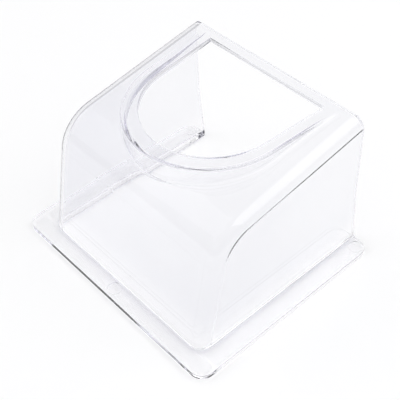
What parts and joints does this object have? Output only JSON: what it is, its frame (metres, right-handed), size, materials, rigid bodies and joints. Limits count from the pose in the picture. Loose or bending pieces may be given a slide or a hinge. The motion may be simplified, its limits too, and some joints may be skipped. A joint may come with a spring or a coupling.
{
  "type": "push button rain hood",
  "caption": "Clear moulded rain hood for a wall push button, with a wall flange, an open underside and a D-shaped access opening in a raised collar.",
  "frame": {"origin": "middle of the box round the part, in the plane that the liners lie in (the wall plane)", "axes": "+Z points away from the wall, -Y is the closed roof side, +Y the open underside, X runs across the hood"},
  "size_m": [0.115, 0.0966, 0.0687],
  "materials": {
    "clear_moulding": "clear, polished",
    "clear_tape": "clear acrylic gel",
    "liner_film": "clear satin film"
  },
  "bodies": {
    "root": {"hood": "clear_moulding", "tape_strip_roof": "clear_tape", "tape_strip_left": "clear_tape", "tape_strip_right": "clear_tape", "release_liner_roof": "liner_film", "release_liner_left": "liner_film", "release_liner_right": "liner_film"}
  },
  "joints": []
}
